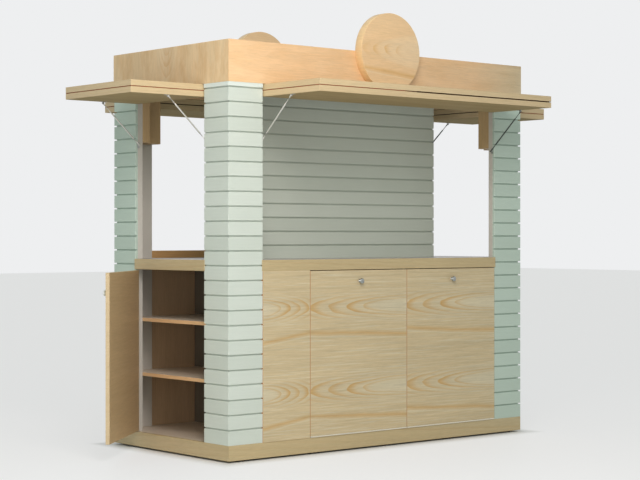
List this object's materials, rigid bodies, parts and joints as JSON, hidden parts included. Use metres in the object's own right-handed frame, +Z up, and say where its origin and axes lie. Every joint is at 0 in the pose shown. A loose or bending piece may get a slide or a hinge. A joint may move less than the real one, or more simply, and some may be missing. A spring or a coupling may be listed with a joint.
{
  "type": "sales kiosk",
  "caption": "Rectangular sales kiosk with clad corner posts, a cabinet base with doors, a counter, folded open hatches, a header box and round sign discs",
  "frame": {"origin": "on the floor under the middle of the kiosk", "axes": "+X along the kiosk to the right seen from the front, -Y out of the front with the two drop doors, +Z up"},
  "size_m": [3.2336, 2.044, 2.494],
  "materials": {
    "maple": "pale maple veneer, satin",
    "siding_paint": "pale grey green paint, matte",
    "post_paint": "plain pale grey paint, matte",
    "pale_laminate": "pale grey laminate, satin",
    "brown_board": "brown board, matte",
    "olive_board": "olive tan board, satin",
    "dark_timber": "dark stained timber, matte",
    "steel": "satin steel"
  },
  "bodies": {
    "kiosk": {"plinth_long_boards": "maple", "plinth_end_boards": "maple", "base_bearers": "dark_timber", "base_floor": "pale_laminate", "post_front_left": "post_paint", "post_front_right": "post_paint", "post_back_left": "post_paint", "post_back_right": "post_paint", "cladding_front_left": "siding_paint", "cladding_front_right": "siding_paint", "cladding_back_left": "siding_paint", "cladding_back_right": "siding_paint", "post_caps": "siding_paint", "post_head_blocks": "maple", "header_long_boards": "maple", "header_end_boards": "maple", "ceiling_board": "pale_laminate", "roof_board": "pale_laminate", "sign_disc_front": "maple", "sign_disc_back": "maple", "counter_board": "pale_laminate", "counter_bands": "maple", "counter_back_ledge": "maple", "fixed_panel_front": "maple", "fixed_panel_back": "maple", "end_panel_right": "maple", "cabinet_partition": "brown_board", "cabinet_middle_divider": "brown_board", "cabinet_shelves": "pale_laminate", "drop_door_fixed_hinges": "steel", "back_doors": "maple", "back_door_knobs": "steel", "side_door_fixed_hinges": "steel", "centre_wall": "siding_paint", "cladding_centre_wall": "siding_paint", "flap_front": "olive_board", "flap_back": "olive_board", "flap_left": "olive_board", "flap_right": "olive_board", "flap_hinge_plates": "steel", "flap_stays": "steel"},
    "side_door": {"side_door": "maple", "side_door_knob": "steel", "side_door_hinges": "steel"},
    "drop_door_left": {"drop_door_left": "maple", "drop_door_knob_left": "steel", "drop_door_hinge_left": "steel"},
    "drop_door_right": {"drop_door_right": "maple", "drop_door_knob_right": "steel", "drop_door_hinge_right": "steel"}
  },
  "joints": [
    {"name": "side_door_hinge", "type": "hinge", "parent": "kiosk", "child": "side_door", "pos_m": [-1.1445, 0.329, 0.5585], "axis": [0, 0, -1], "range_deg": [-48, 62]},
    {"name": "drop_door_left_hinge", "type": "hinge", "parent": "kiosk", "child": "drop_door_left", "pos_m": [-0.20225, -0.555, 0.097], "axis": [1, 0, 0], "range_deg": [0, 90]},
    {"name": "drop_door_right_hinge", "type": "hinge", "parent": "kiosk", "child": "drop_door_right", "pos_m": [0.53325, -0.555, 0.097], "axis": [1, 0, 0], "range_deg": [0, 90]}
  ]
}
